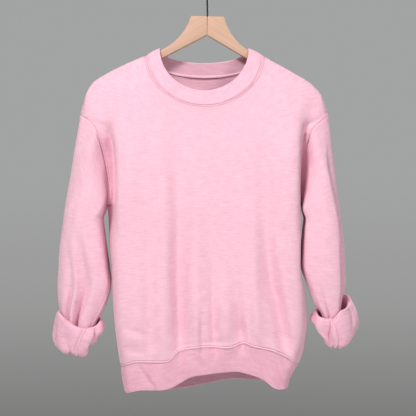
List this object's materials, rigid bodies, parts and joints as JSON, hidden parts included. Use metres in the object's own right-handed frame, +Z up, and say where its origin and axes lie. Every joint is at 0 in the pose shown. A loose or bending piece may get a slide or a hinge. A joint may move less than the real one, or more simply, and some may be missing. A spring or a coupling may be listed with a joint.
{
  "type": "crewneck sweatshirt on a wooden hanger",
  "caption": "Long-sleeved crewneck sweatshirt with ribbed neck and hem and rolled-up sleeve ends, hanging on a flat wooden hanger with a wire hook.",
  "frame": {"origin": "inside top of the hanger's hook, where a rail carries it", "axes": "+Z up, -Y out of the garment's front, +X towards the right as seen from the front"},
  "size_m": [0.6199, 0.1496, 0.8624],
  "materials": {
    "fleece": "matte brushed-back sweatshirt fleece, pale pink",
    "rib": "matte 1x1 rib knit, pale pink",
    "wood": "clear satin lacquer on pale beech",
    "wire": "dark satin"
  },
  "bodies": {
    "root": {"front": "fleece", "back": "fleece", "sleeve_left": "fleece", "sleeve_right": "fleece", "neckband": "rib", "waistband": "rib", "cuff_left": "rib", "cuff_right": "rib", "hanger_arm_left": "wood", "hanger_arm_right": "wood", "hanger_hook": "wire"}
  },
  "joints": []
}
